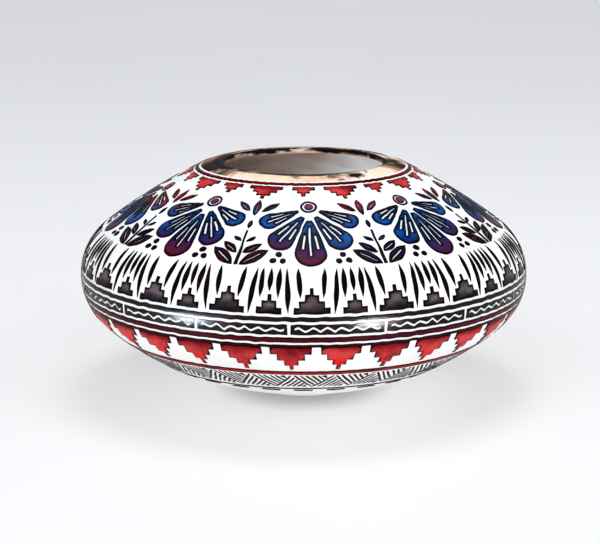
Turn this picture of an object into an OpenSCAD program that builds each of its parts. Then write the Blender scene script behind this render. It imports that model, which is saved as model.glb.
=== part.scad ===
// Squat etched pot with a narrow curled mouth, a rounded belly and a small foot ring.
// The clay wall is built up from sections that meet face to face along seams square to the surface.
// Each coat of colour lies on the wall as a thin shell of its own.

/* [Vessel] */
// Widest diameter, at the belly
belly_d = 200; // [165:1:250]
// Thickness of the clay wall
wall_t = 5; // [3:0.5:7]
// Radius of the rounded belly, seen in section
belly_arc_r = 26; // [21:1:32]
// How far the belly rings reach below the widest line, in degrees
belly_under_angle = 47; // [42:1:52]
// How far the belly rings reach above the widest line, in degrees
belly_over_angle = 53; // [47:1:57]
// Radius of the lower bowl, seen in section
lower_arc_r = 121; // [100:1:150]
// Radius of the shoulder, seen in section
shoulder_arc_r = 275; // [225:5:340]

/* [Foot] */
// Outer diameter of the foot ring
foot_d = 39; // [32:1:50]
// Height of the foot ring
foot_h = 4; // [2:0.5:6]
// Width of the foot ring
foot_ring_w = 6.5; // [4:0.5:10]
// Bevel on the lower edges of the foot ring
foot_bevel = 0.8; // [0.4:0.1:1.5]

/* [Mouth] */
// Diameter of the seam where the bare lip starts
lip_seam_d = 91.6; // [76:0.1:110]
// Radius of the curl of the lip, seen in section
lip_arc_r = 17; // [14:0.5:22]
// How far the lip curls inwards, in degrees
lip_curl_angle = 32; // [26:1:40]
// Thickness of the lip at its rounded edge
lip_edge_t = 2.4; // [1.6:0.1:3]

/* [Coats] */
// Thickness of each coat of colour on the outside
slip_t = 0.3; // [0.2:0.05:0.6]
// Thickness of the smoked lining inside
lining_t = 0.4; // [0.2:0.05:0.8]
// White gap between neighbouring bands
band_gap = 1.15; // [0.8:0.05:1.8]

/* [Mouth pattern] */
// Width of the red line below the lip
mouth_line_w = 1.6; // [1:0.1:2.5]
// Number of large hanging steps, with as many small ones between
mouth_steps_count = 10; // [6:1:10]
// Width of a large hanging step at its top
mouth_large_w = 14.2; // [8:0.1:16]
// Width of a small hanging step at its top
mouth_small_w = 9.3; // [6:0.1:10]
// Height of one tier of the hanging steps
mouth_tier_h = 2.1; // [1.4:0.1:2.8]

/* [Shoulder pattern] */
// Number of fans round the shoulder, with as many leaf sprigs between
fan_count = 9; // [6:1:10]
// Number of blades to each side of a fan's middle blade
fan_side_blades = 2; // [2:1:3]
// Diameter of the boss that a fan spreads from
fan_boss_d = 7; // [4:0.5:8]
// Diameter of a berry, three of which lie to each side of a fan's middle blade
berry_d = 2.8; // [1.6:0.1:3]
// Number of leaf pairs on a sprig
sprig_pairs = 3; // [2:1:4]
// Width of a sprig's stem
sprig_stem_w = 1.2; // [0.8:0.1:2]
// Width of a reed stroke
reed_w = 2.1; // [1:0.1:2.4]

/* [Belly pattern] */
// Number of large standing steps, with as many small ones between
belly_steps_count = 18; // [12:1:18]
// Width of a large standing step at its foot
belly_large_w = 15; // [10:0.1:16]
// Width of a small standing step at its foot
belly_small_w = 10.3; // [6:0.1:11]
// Height of one tier of the standing steps
belly_tier_h = 2.6; // [1.8:0.1:3.2]
// Width of the tip of every step
step_tip_w = 1.6; // [1:0.1:2.5]
// Rise of the black band's upper edge above the widest line
black_band_rise = 3; // [2:0.1:4]
// Width of the black band
black_band_w = 1.85; // [1:0.05:2.5]
// Number of zigzag panels
panel_count = 16; // [10:1:24]
// Width of the row of zigzag panels
panel_w = 4.3; // [3:0.1:6]
// Gap between one panel and the next
panel_gap = 1.3; // [0.8:0.1:2.5]
// Width of the maroon band
maroon_band_w = 2.3; // [1:0.1:3]

/* [Lower pattern] */
// Width of the border that the red steps hang from
step_border_w = 1.2; // [0.8:0.1:2]
// Number of red steps
red_steps_count = 30; // [20:1:32]
// Width of a red step at its top
red_step_w = 17; // [10:0.1:17.5]
// Width of a red step's lowest tier
red_neck_w = 6; // [4:0.1:8]
// Length of the tip that hangs from a red step
red_tip_len = 4; // [2:0.1:5]
// Width of the red line below the steps
red_line_w = 2.7; // [1.5:0.1:3.5]
// Width of the hatched band
hatch_band_w = 15.6; // [10:0.1:17]
// Width of the line below the hatched band
base_line_w = 1; // [0.6:0.1:1.6]
// Number of dashes above the foot
dash_count = 30; // [16:1:36]
// Length of a dash, measured round the pot
dash_len = 8; // [4:0.1:8.5]
// Width of a dash
dash_w = 1.6; // [1:0.1:2.2]

/* [Hidden] */
$fn = 180;
degree = 180 / PI;

// Direction of the side that faces forwards
front_angle = -90;
// Turn of each pattern from the front, counted to the right
mouth_turn = 0;
fan_turn = 2;
belly_turn = 2;
panel_turn = 8;
red_turn = -3;

// Section of the wall: arcs of the lower bowl, the belly and the shoulder, tangent where they join
foot_r = foot_d / 2;
lip_seam_r = lip_seam_d / 2;
belly_centre_r = belly_d / 2 - belly_arc_r;
lower_reach = lower_arc_r - belly_arc_r;
shoulder_reach = shoulder_arc_r - belly_arc_r;
lower_centre_r = belly_centre_r - lower_reach * cos(belly_under_angle);
lower_drop = sqrt(lower_arc_r ^ 2 - (foot_r - lower_centre_r) ^ 2);
belly_z = foot_h + lower_drop - lower_reach * sin(belly_under_angle);
lower_centre = [lower_centre_r, foot_h + lower_drop];
belly_centre = [belly_centre_r, belly_z];
shoulder_centre = [
    belly_centre_r - shoulder_reach * cos(belly_over_angle),
    belly_z - shoulder_reach * sin(belly_over_angle)
];
foot_angle = -acos((foot_r - lower_centre_r) / lower_arc_r);
lip_angle = acos((lip_seam_r - shoulder_centre[0]) / shoulder_arc_r);

// Lengths along the outside of the wall, counted upwards from the foot
lower_len = lower_arc_r * (-belly_under_angle - foot_angle) / degree;
belly_len = belly_arc_r * (belly_under_angle + belly_over_angle) / degree;
shoulder_len = shoulder_arc_r * (lip_angle - belly_over_angle) / degree;
belly_start = lower_len;
shoulder_start = lower_len + belly_len;
seam_end = shoulder_start + shoulder_len;
widest = lower_len + belly_arc_r * belly_under_angle / degree;

// Each arc as its centre, radius, first and last length, and angle at its first length
ARCS = [
    [lower_centre, lower_arc_r, 0, belly_start, foot_angle],
    [belly_centre, belly_arc_r, belly_start, shoulder_start, -belly_under_angle],
    [shoulder_centre, shoulder_arc_r, shoulder_start, seam_end, belly_over_angle]
];

function arc_at(s) = s < belly_start ? ARCS[0] : s < shoulder_start ? ARCS[1] : ARCS[2];
function angle_on(arc, s) = arc[4] + (s - arc[2]) / arc[1] * degree;
function wall_angle(s) = angle_on(arc_at(s), s);
function polar(centre, r, a) = centre + r * [cos(a), sin(a)];
function wall_point(s) = polar(arc_at(s)[0], arc_at(s)[1], wall_angle(s));
function wall_r(s) = wall_point(s)[0];
function turn_of(width, s) = width / wall_r(s) * degree;

// Lip, base and lining
lip_end_angle = lip_angle + lip_curl_angle;
lip_centre = polar(shoulder_centre, shoulder_arc_r - lip_arc_r, lip_angle);
lip_edge_centre = polar(lip_centre, lip_arc_r - lip_edge_t / 2, lip_end_angle);
base_top = polar(lower_centre, lower_arc_r - wall_t, foot_angle);
lining_steps = 12;

// Rows of the pattern, as lengths along the wall
step_tiers = 4;
small_tiers = 3;
mouth_line_top = seam_end - band_gap;
mouth_line_foot = mouth_line_top - mouth_line_w;
mouth_steps_top = mouth_line_foot - band_gap;
mouth_pitch = 360 / mouth_steps_count;
black_top = widest + black_band_rise;
black_foot = black_top - black_band_w;
belly_steps_foot = black_top + band_gap;
panel_top = black_foot - band_gap;
panel_foot = panel_top - panel_w;
maroon_top = panel_foot - band_gap;
maroon_foot = maroon_top - maroon_band_w;
border_top = maroon_foot - band_gap;
border_foot = border_top - step_border_w;
red_pitch = 360 / red_steps_count;
red_tier_h = (border_foot - belly_start) / small_tiers;
red_line_top = belly_start - red_tip_len - 2 * band_gap;
red_line_foot = red_line_top - red_line_w;
hatch_top = red_line_foot - band_gap;
hatch_foot = hatch_top - hatch_band_w;
base_line_top = hatch_foot - 2 * band_gap;
base_line_foot = base_line_top - base_line_w;
dash_top = base_line_foot - 2 * band_gap;

// Room for the fans and sprigs, from the upper belly ring's seam to the hanging steps
frieze_top = mouth_steps_top - step_tiers * mouth_tier_h - band_gap;
frieze_foot = shoulder_start + band_gap / 2;
fan_pitch = 360 / fan_count;
fan_apex = frieze_top - fan_boss_d / 2;
fan_len = fan_apex - frieze_foot;
fan_half_turn = 0.46 * fan_pitch;
fan_spread = 60;
blade_step = fan_spread / fan_side_blades;
blade_root = 0.25;
blade_slimness = 1.95 * tan(blade_step / 2);
drop_point = 0.08;
drop_side = 0.46;
berry_turn = 0.22 * fan_pitch;
berry_s = frieze_foot + 1.4 * berry_d;
// Middles of the three berries of a cluster, counted in berries
BERRIES = [[-0.72, -0.4], [0.72, -0.4], [0, 0.8]];
sprig_len = 0.5 * (frieze_top - frieze_foot);
bud_len = 0.25 * sprig_len;
lowest_leaf_len = 0.72 * sprig_len;
leaf_shortening = 0.72 * sprig_len;
leaf_lean = 52;
leaf_slimness = 0.4;
// Three leaves in the room above each sprig, between one fan's boss and the next
crown_len = 0.26 * (frieze_top - frieze_foot);
crown_side_len = 0.9 * crown_len;
crown_lean = 48;
crown_slimness = 0.34;
// Strokes beside the standing steps and above the small ones, up to the seam
reed_top = shoulder_start - band_gap / 2;
belly_pitch = 360 / belly_steps_count;
reed_turn = 0.29 * belly_pitch;
large_tip_turn = 0.15 * belly_pitch;
small_tip_turn = 0.105 * belly_pitch;
reed_lean = 5;
// Depth of the prisms that cut flat shapes out of a coat, and the spare room round a shape
prism_h = 10;
spare = 1.1;

// Part of a ring, seen in section, between two radii and two angles
module arc_band(centre, r_in, r_out, a_from, a_to) {
    far = 2 * r_out;
    intersection() {
        translate(centre) difference() {
            circle(r_out);
            circle(r_in);
        }
        polygon([
            centre,
            polar(centre, far, a_from),
            polar(centre, far, (a_from + a_to) / 2),
            polar(centre, far, a_to)
        ]);
    }
}

// Layer that follows the wall between two lengths, from one height above the surface to another
module wall_layer(s_from, s_to, h_from, h_to) {
    for (arc = ARCS) {
        low = max(s_from, arc[2]);
        high = min(s_to, arc[3]);
        if (high > low) {
            arc_band(arc[0], arc[1] + h_from, arc[1] + h_to, angle_on(arc, low), angle_on(arc, high));
        }
    }
}

// Clay section between two lengths
module clay_section(s_from, s_to) {
    rotate_extrude() wall_layer(s_from, s_to, -wall_t, 0);
}

// Coat of colour all the way round between two lengths
module slip_ring(s_from, s_to) {
    rotate_extrude() wall_layer(s_from, s_to, 0, slip_t);
}

// Coat of colour over one turn between two lengths, with its middle at an angle from the front
module slip_patch(turn, width_turn, s_from, s_to) {
    rotate([0, 0, front_angle + turn])
        rotate_extrude(angle = width_turn, start = -width_turn / 2)
            wall_layer(s_from, s_to, 0, slip_t);
}

// Stepped triangle that narrows evenly from its first tier to its last, upwards or downwards
module stepped_slip(turn, s_base, base_w, end_w, tiers, tier_h, up) {
    for (i = [0 : tiers - 1]) {
        tier_w = base_w + (end_w - base_w) * i / (tiers - 1);
        s_near = s_base + up * i * tier_h;
        s_far = s_near + up * tier_h;
        slip_patch(turn, turn_of(tier_w, s_base), min(s_near, s_far), max(s_near, s_far));
    }
}

// Places a flat shape on the wall, with its Y up the slope and its Z out of the surface
module on_wall(turn, s) {
    p = wall_point(s);
    rotate([0, 0, front_angle + turn])
        translate([p[0], 0, p[1]])
            rotate([0, -wall_angle(s), 0])
                rotate([90, 0, 90])
                    children();
}

// Pointed leaf between two equal arcs
module leaf_shape(len, width) {
    arc_r = (len ^ 2 + width ^ 2) / (4 * width);
    shift = arc_r - width / 2;
    intersection() {
        translate([shift, 0]) circle(arc_r);
        translate([-shift, 0]) circle(arc_r);
    }
}

// Drop that points up, with a round end below
module drop_shape(len, width) {
    round_y = width / 2 - len / 2;
    point_w = drop_point * width;
    side_w = drop_side * width;
    translate([0, round_y]) circle(d = width);
    polygon([[-side_w, round_y], [side_w, round_y], [point_w, len / 2], [-point_w, len / 2]]);
}

// Flat shape as a coat of colour, with its middle at a turn and a length, leaning to the right
module slip_shape(turn, s, room, lean) {
    intersection() {
        slip_patch(turn, turn_of(room, s), s - room / 2, s + room / 2);
        on_wall(turn, s)
            rotate([0, 0, -lean])
                linear_extrude(height = prism_h, center = true)
                    children();
    }
}

module foot_ring() {
    inner_r = foot_r - foot_ring_w;
    color("ivory")
        rotate_extrude()
            polygon([
                [inner_r, foot_h],
                [inner_r, foot_bevel],
                [inner_r + foot_bevel, 0],
                [foot_r - foot_bevel, 0],
                [foot_r, foot_bevel],
                [foot_r, foot_h]
            ]);
}

module base_disc() {
    color("ivory")
        rotate_extrude()
            polygon([[0, foot_h], [foot_r, foot_h], base_top, [0, base_top[1]]]);
}

module lower_bowl() {
    color("white") clay_section(0, belly_start);
}

module lower_belly_ring() {
    color("white") clay_section(belly_start, widest);
}

module upper_belly_ring() {
    color("white") clay_section(widest, shoulder_start);
}

module shoulder_wall() {
    color("white") clay_section(shoulder_start, seam_end);
}

// Points of the lip's inner side at a depth below it, from the seam to the edge
function lip_inside(depth) = [
    polar(lip_centre, lip_arc_r - wall_t - depth, lip_angle),
    polar(lip_centre, lip_arc_r - lip_edge_t - depth, lip_end_angle)
];

// Lip that thins from the seam to its rounded edge
module mouth_lip() {
    far = 2 * lip_arc_r;
    color("burlywood")
        rotate_extrude() {
            intersection() {
                translate(lip_centre) circle(lip_arc_r);
                polygon(concat(
                    backwards(lip_inside(0)),
                    [for (i = [0 : 2]) polar(lip_centre, far, lip_angle + lip_curl_angle * i / 2)]
                ));
            }
            translate(lip_edge_centre) circle(lip_edge_t / 2);
        }
}

// Points up the inside of the wall at a depth below it, from the floor to the lip's edge
function inside_points(depth) = [
    for (arc = ARCS) for (i = [0 : lining_steps - 1])
        polar(arc[0], arc[1] - wall_t - depth, angle_on(arc, arc[2] + (arc[3] - arc[2]) * i / lining_steps)),
    each lip_inside(depth)
];

function backwards(points) = [for (i = [len(points) - 1 : -1 : 0]) points[i]];

module inner_lining() {
    outer = inside_points(0);
    inner = inside_points(lining_t);
    color("dimgray")
        rotate_extrude()
            polygon(concat([[0, outer[0][1]]], outer, backwards(inner), [[0, inner[0][1]]]));
}

module mouth_line() {
    color("darkred") slip_ring(mouth_line_foot, mouth_line_top);
}

module mouth_steps_large() {
    color("firebrick")
        for (i = [0 : mouth_steps_count - 1]) {
            turn = mouth_turn + (i + 0.5) * mouth_pitch;
            stepped_slip(turn, mouth_steps_top, mouth_large_w, step_tip_w, step_tiers, mouth_tier_h, -1);
        }
}

module mouth_steps_small() {
    color("firebrick")
        for (i = [0 : mouth_steps_count - 1]) {
            turn = mouth_turn + i * mouth_pitch;
            stepped_slip(turn, mouth_steps_top, mouth_small_w, step_tip_w, small_tiers, mouth_tier_h, -1);
        }
}

module fan_bosses() {
    color("indianred")
        for (i = [0 : fan_count - 1]) {
            slip_shape(fan_turn + i * fan_pitch, fan_apex, 2 * fan_boss_d, 0) circle(d = fan_boss_d);
        }
}

// Blade of a fan, from near the boss out to a tip on an oval round the boss
module fan_blade(fan, number) {
    side = number * blade_step;
    across = fan_half_turn / degree * wall_r(fan_apex - fan_len / 6);
    reach = 1 / norm([sin(side) / across, cos(side) / fan_len]);
    middle = reach * (1 + blade_root) / 2;
    len = reach * (1 - blade_root);
    s = fan_apex - middle * cos(side);
    turn = fan + turn_of(middle * sin(side), s);
    slip_shape(turn, s, spare * len, -side) drop_shape(len, len * blade_slimness);
}

module fan_blades() {
    color("steelblue")
        for (i = [0 : fan_count - 1]) {
            for (number = [-fan_side_blades : fan_side_blades]) {
                fan_blade(fan_turn + i * fan_pitch, number);
            }
        }
}

module berries() {
    color("indigo")
        for (i = [0 : fan_count - 1], side = [-1, 1], berry = BERRIES) {
            turn = fan_turn + i * fan_pitch + side * berry_turn;
            s = berry_s + berry[1] * berry_d;
            slip_shape(turn + turn_of(berry[0] * berry_d, s), s, 2 * berry_d, 0) circle(d = berry_d);
        }
}

module sprig_stems() {
    color("indigo")
        for (i = [0 : fan_count - 1]) {
            turn = fan_turn + (i + 0.5) * fan_pitch;
            slip_patch(turn, turn_of(sprig_stem_w, frieze_foot), frieze_foot, frieze_foot + sprig_len);
        }
}

// Leaf of a sprig, which starts beside the stem at a share of the stem's length
module sprig_leaf(sprig, share, side) {
    len = lowest_leaf_len - leaf_shortening * share;
    root_s = frieze_foot + share * sprig_len;
    s = root_s + len / 2 * cos(leaf_lean);
    across = len / 2 * sin(leaf_lean) + sprig_stem_w;
    slip_shape(sprig + side * turn_of(across, s), s, spare * len, side * leaf_lean)
        leaf_shape(len, len * leaf_slimness);
}

module sprig_leaves() {
    bud_s = frieze_foot + sprig_len + bud_len / 2 + sprig_stem_w;
    color("purple")
        for (i = [0 : fan_count - 1]) {
            sprig = fan_turn + (i + 0.5) * fan_pitch;
            slip_shape(sprig, bud_s, spare * bud_len, 0) leaf_shape(bud_len, bud_len * leaf_slimness);
            for (pair = [0 : sprig_pairs - 1]) {
                sprig_leaf(sprig, pair / sprig_pairs, -1);
                sprig_leaf(sprig, pair / sprig_pairs, 1);
            }
        }
}

module crown_leaves() {
    side_s = frieze_top - crown_side_len / 2;
    side_turn = turn_of(crown_side_len / 2 * sin(crown_lean) + 2 * sprig_stem_w, side_s);
    color("firebrick")
        for (i = [0 : fan_count - 1]) {
            crown = fan_turn + (i + 0.5) * fan_pitch;
            slip_shape(crown, frieze_top - crown_len / 2, spare * crown_len, 0)
                leaf_shape(crown_len, crown_len * crown_slimness);
            for (side = [-1, 1]) {
                slip_shape(crown + side * side_turn, side_s, spare * crown_side_len, side * crown_lean)
                    leaf_shape(crown_side_len, crown_side_len * crown_slimness);
            }
        }
}

// Reed stroke from a length up to the seam
module reed(turn, s_from, lean) {
    len = reed_top - s_from;
    slip_shape(turn, s_from + len / 2, len + band_gap / 2, lean) leaf_shape(len, reed_w);
}

module reed_strokes() {
    above_small = belly_steps_foot + small_tiers * belly_tier_h + band_gap;
    beside_tips = above_small - belly_tier_h;
    color("black")
        for (i = [0 : belly_steps_count - 1]) {
            large = belly_turn + i * belly_pitch;
            small = large + belly_pitch / 2;
            reed(small, above_small, 0);
            for (side = [-1, 1]) {
                reed(large + side * reed_turn, belly_steps_foot, side * reed_lean);
                reed(large + side * large_tip_turn, beside_tips, side * reed_lean);
                reed(small + side * small_tip_turn, beside_tips, 0);
            }
        }
}

module belly_steps_large() {
    color("dimgray")
        for (i = [0 : belly_steps_count - 1]) {
            turn = belly_turn + i * belly_pitch;
            stepped_slip(turn, belly_steps_foot, belly_large_w, step_tip_w, step_tiers, belly_tier_h, 1);
        }
}

module belly_steps_small() {
    color("dimgray")
        for (i = [0 : belly_steps_count - 1]) {
            turn = belly_turn + (i + 0.5) * belly_pitch;
            stepped_slip(turn, belly_steps_foot, belly_small_w, step_tip_w, small_tiers, belly_tier_h, 1);
        }
}

module black_band() {
    color("black") slip_ring(black_foot, black_top);
}

module zigzag_panels() {
    pitch = 360 / panel_count;
    width_turn = pitch - turn_of(panel_gap, widest);
    color("midnightblue")
        for (i = [0 : panel_count - 1]) {
            slip_patch(panel_turn + i * pitch, width_turn, panel_foot, panel_top);
        }
}

module maroon_band() {
    color("maroon") slip_ring(maroon_foot, maroon_top);
}

module step_border() {
    color("maroon") slip_ring(border_foot, border_top);
}

module red_steps() {
    color("firebrick")
        for (i = [0 : red_steps_count - 1]) {
            turn = red_turn + i * red_pitch;
            stepped_slip(turn, border_foot, red_step_w, red_neck_w, small_tiers, red_tier_h, -1);
        }
}

module red_tips() {
    width_turn = turn_of(step_tip_w, belly_start);
    color("firebrick")
        for (i = [0 : red_steps_count - 1]) {
            slip_patch(red_turn + i * red_pitch, width_turn, belly_start - red_tip_len, belly_start);
        }
}

module red_line() {
    color("darkred") slip_ring(red_line_foot, red_line_top);
}

module hatch_band() {
    color("black") slip_ring(hatch_foot, hatch_top);
}

module base_line() {
    color("black") slip_ring(base_line_foot, base_line_top);
}

module base_dashes() {
    pitch = 360 / dash_count;
    color("black")
        for (i = [0 : dash_count - 1]) {
            slip_patch(i * pitch, turn_of(dash_len, dash_top), dash_top - dash_w, dash_top);
        }
}

foot_ring();
base_disc();
lower_bowl();
lower_belly_ring();
upper_belly_ring();
shoulder_wall();
mouth_lip();
inner_lining();
mouth_line();
mouth_steps_large();
mouth_steps_small();
fan_bosses();
fan_blades();
berries();
sprig_stems();
sprig_leaves();
crown_leaves();
reed_strokes();
belly_steps_large();
belly_steps_small();
black_band();
zigzag_panels();
maroon_band();
step_border();
red_steps();
red_tips();
red_line();
hatch_band();
base_line();
base_dashes();
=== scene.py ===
import bpy
import math
import random
import numpy as np
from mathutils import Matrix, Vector


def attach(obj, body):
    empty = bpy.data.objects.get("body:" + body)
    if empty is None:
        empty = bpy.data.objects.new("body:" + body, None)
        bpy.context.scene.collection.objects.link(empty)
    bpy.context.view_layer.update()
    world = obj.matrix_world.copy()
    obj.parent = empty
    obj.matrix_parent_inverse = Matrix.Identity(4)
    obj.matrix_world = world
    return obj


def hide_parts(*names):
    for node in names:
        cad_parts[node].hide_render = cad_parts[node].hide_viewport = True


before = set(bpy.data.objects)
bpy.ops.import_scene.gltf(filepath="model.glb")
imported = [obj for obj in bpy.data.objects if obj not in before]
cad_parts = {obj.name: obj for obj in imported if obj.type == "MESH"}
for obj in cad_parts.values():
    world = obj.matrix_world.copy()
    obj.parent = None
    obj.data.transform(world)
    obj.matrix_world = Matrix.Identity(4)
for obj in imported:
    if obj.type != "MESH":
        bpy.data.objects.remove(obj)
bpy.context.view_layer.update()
print("frame loaded with", len(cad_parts), "nodes")

mm = 0.001
mergeWithin = 0.002 * mm
luck = random.Random(7)
bpy.context.scene.view_settings.view_transform = "Standard"  # keeps the slips as strong as they are mixed
bpy.context.scene.view_settings.look = "Medium High Contrast"

# Section of the pot's wall, in millimetres and degrees
potShape = {
    "bellyWide": 200,
    "wall": 5,
    "lining": 0.4,
    "lowerArc": 121,
    "bellyArc": 26,
    "shoulderArc": 275,
    "bellyUnder": 47,
    "bellyOver": 53,
    "footWide": 39,
    "footHigh": 4,
    "footRing": 6.5,
    "footRound": 0.8,
    "lipSeam": 91.6,
    "lipArc": 17,
    "lipCurl": 32,
    "lipEdge": 2.4,
}


def sectionArcs(shape):
    under = math.radians(shape["bellyUnder"])
    over = math.radians(shape["bellyOver"])
    bellyR = shape["bellyWide"] / 2 - shape["bellyArc"]
    footR = shape["footWide"] / 2
    lowerReach = shape["lowerArc"] - shape["bellyArc"]
    lowerR = bellyR - lowerReach * math.cos(under)
    lowerZ = shape["footHigh"] + math.sqrt(shape["lowerArc"] ** 2 - (footR - lowerR) ** 2)
    bellyZ = lowerZ - lowerReach * math.sin(under)
    shoulderReach = shape["shoulderArc"] - shape["bellyArc"]
    shoulderR = bellyR - shoulderReach * math.cos(over)
    shoulderZ = bellyZ - shoulderReach * math.sin(over)
    footTurn = -math.acos((footR - lowerR) / shape["lowerArc"])
    lipTurn = math.acos((shape["lipSeam"] / 2 - shoulderR) / shape["shoulderArc"])
    lipReach = shape["shoulderArc"] - shape["lipArc"]
    lipR = shoulderR + lipReach * math.cos(lipTurn)
    lipZ = shoulderZ + lipReach * math.sin(lipTurn)
    edgeTurn = lipTurn + math.radians(shape["lipCurl"])
    arcs = []
    length = 0
    for r, z, radius, low, high in (
        (lowerR, lowerZ, shape["lowerArc"], footTurn, -under),
        (bellyR, bellyZ, shape["bellyArc"], -under, over),
        (shoulderR, shoulderZ, shape["shoulderArc"], over, lipTurn),
        (lipR, lipZ, shape["lipArc"], lipTurn, edgeTurn),
    ):
        end = length + radius * (high - low)
        arcs.append({"r": r, "z": z, "radius": radius, "angle": low, "start": length, "end": end})
        length = end
    return arcs


wallArcs = sectionArcs(potShape)
lowerBowlArc, bellyArc, shoulderArc, lipArc = wallArcs
bellyStart = bellyArc["start"]
shoulderStart = shoulderArc["start"]
lipStart = lipArc["start"]
lipEnd = lipArc["end"]
widest = bellyStart + potShape["bellyArc"] * math.radians(potShape["bellyUnder"])


# Radius and height of a point at a length up the outside, some way out of the surface
def wallPoint(length, out):
    length = np.asarray(length, float)
    arc = np.searchsorted([one["end"] for one in wallArcs[:-1]], length)
    part = {key: np.array([one[key] for one in wallArcs])[arc] for key in lowerBowlArc}
    angle = part["angle"] + (length - part["start"]) / part["radius"]
    reach = part["radius"] + out
    return part["r"] + reach * np.cos(angle), part["z"] + reach * np.sin(angle)


def radiusAt(length):
    return float(wallPoint(length, 0)[0])


def turnOf(across, length):
    return math.degrees(across / radiusAt(length))


# Length up the outside of the wall's point that lies nearest
def wallLength(r, z):
    nearest = np.full(r.shape, np.inf)
    found = np.zeros(r.shape)
    for arc in wallArcs:
        angle = np.arctan2(z - arc["z"], r - arc["r"])
        length = arc["start"] + (angle - arc["angle"]) * arc["radius"]
        length = np.clip(length, arc["start"], arc["end"])
        onR, onZ = wallPoint(length, 0)
        gap = np.hypot(r - onR, z - onZ)
        found = np.where(gap < nearest, length, found)
        nearest = np.minimum(gap, nearest)
    return found


# Lowest and highest length up the wall that a coat of the frame covers
def rowOf(node):
    spots = np.array([vertex.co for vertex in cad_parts[node].data.vertices]) / mm
    lengths = wallLength(np.hypot(spots[:, 0], spots[:, 1]), spots[:, 2])
    return float(lengths.min()), float(lengths.max())


# The small unsteadiness of a hand that forms the clay and cuts the pattern
handWork = {
    "cutDrift": 0.055,
    "cutWaves": 6,
    "cutCount": (20, 130),
    "cutRise": (0.15, 0.8),
    "formSwell": 0.1,
    "formCounts": (2, 3, 5),
    "formRise": (0.01, 0.04),
    "phase": (0, 6.3),
    "softCentre": 10,
    "steadyBelow": 4,
    "steadyOver": 14,
}
handLuck = random.Random(5)


def drawn(key):
    return handLuck.uniform(*handWork[key])


cutWaves = [
    (handLuck.randint(*handWork["cutCount"]), drawn("cutRise"), drawn("phase"), drawn("phase"))
    for wave in range(handWork["cutWaves"])
]
formWaves = [(count, drawn("formRise"), drawn("phase")) for count in handWork["formCounts"]]


# Points by their turn round the pot, their length up it and their distance out of it, with the cut's drift
def onPot(turn, length, out):
    around = np.radians(turn)
    side = sum(np.sin(n * around + k * length + a) for n, k, a, b in cutWaves) * handWork["cutDrift"]
    rise = sum(np.sin(n * around - k * length + b) for n, k, a, b in cutWaves) * handWork["cutDrift"]
    r, z = wallPoint(length + rise, out)
    around = around + side / r
    return np.stack([r * np.sin(around), -r * np.cos(around), z], -1) * mm


def readSpots(mesh):
    spots = np.empty(len(mesh.vertices) * 3)
    mesh.vertices.foreach_get("co", spots)
    return spots.reshape(-1, 3)


def writeSpots(mesh, spots):
    mesh.vertices.foreach_set("co", np.asarray(spots, np.float32).ravel())
    mesh.update()


def formByHand(mesh):
    spots = readSpots(mesh)
    r = np.hypot(spots[:, 0], spots[:, 1])
    around = np.arctan2(spots[:, 0], -spots[:, 1])
    z = spots[:, 2] / mm
    swell = sum(np.sin(n * around + k * z + a) for n, k, a in formWaves) * handWork["formSwell"] * mm
    swell *= np.clip((z - handWork["steadyBelow"]) / handWork["steadyOver"], 0, 1)
    grow = 1 + swell / (r + handWork["softCentre"] * mm)
    spots[:, 0] *= grow
    spots[:, 1] *= grow
    writeSpots(mesh, spots)


# Modelling helpers
def startFresh():
    bpy.ops.object.select_all(action="DESELECT")


def takeUp(piece):
    startFresh()
    piece.select_set(True)
    bpy.context.view_layer.objects.active = piece


def pick(piece, kind, wanted):
    bpy.ops.object.mode_set(mode="EDIT")
    bpy.ops.mesh.select_mode(type=kind)
    bpy.ops.mesh.select_all(action="DESELECT")
    bpy.ops.object.mode_set(mode="OBJECT")
    for part in piece.data.polygons if kind == "FACE" else piece.data.edges:
        part.select = bool(wanted(part))
    bpy.ops.object.mode_set(mode="EDIT")


def closeUp(piece):
    takeUp(piece)
    bpy.ops.object.mode_set(mode="EDIT")
    bpy.ops.mesh.select_all(action="SELECT")
    bpy.ops.mesh.remove_doubles(threshold=mergeWithin)
    bpy.ops.mesh.normals_make_consistent(inside=False)
    bpy.ops.object.mode_set(mode="OBJECT")


# How finely the clay is turned, in steps round the pot, rows on a section and millimetres to a row
wheel = {
    "steps": 288,
    "lipSteps": 320,
    "liningSteps": 240,
    "row": 2.5,
    "bellyRow": 1.5,
    "fewestRows": 8,
    "footRows": 6,
    "lipRows": 17,
    "edgeRows": 12,
    "insideRows": 7,
    "liningRows": 90,
    "smooth": 60,
}


# A section in radius and height, turned once round the axis as on a wheel
def turned(name, section, toAxis=False, steps=wheel["steps"]):
    startFresh()
    bpy.ops.mesh.primitive_circle_add(vertices=len(section), radius=1)
    piece = bpy.context.object
    piece.name = piece.data.name = name
    for vertex, (r, z) in zip(piece.data.vertices, section):
        vertex.co = (0, -r * mm, z * mm)
    if toAxis:
        last = len(section) - 1
        pick(piece, "EDGE", lambda edge: set(edge.vertices) == {0, last})
        bpy.ops.mesh.delete(type="EDGE")
    bpy.ops.object.mode_set(mode="EDIT")
    bpy.ops.mesh.select_all(action="SELECT")
    bpy.ops.mesh.spin(steps=steps, angle=2 * math.pi, center=(0, 0, 0), axis=(0, 0, 1))
    bpy.ops.object.mode_set(mode="OBJECT")
    closeUp(piece)
    return piece


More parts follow.
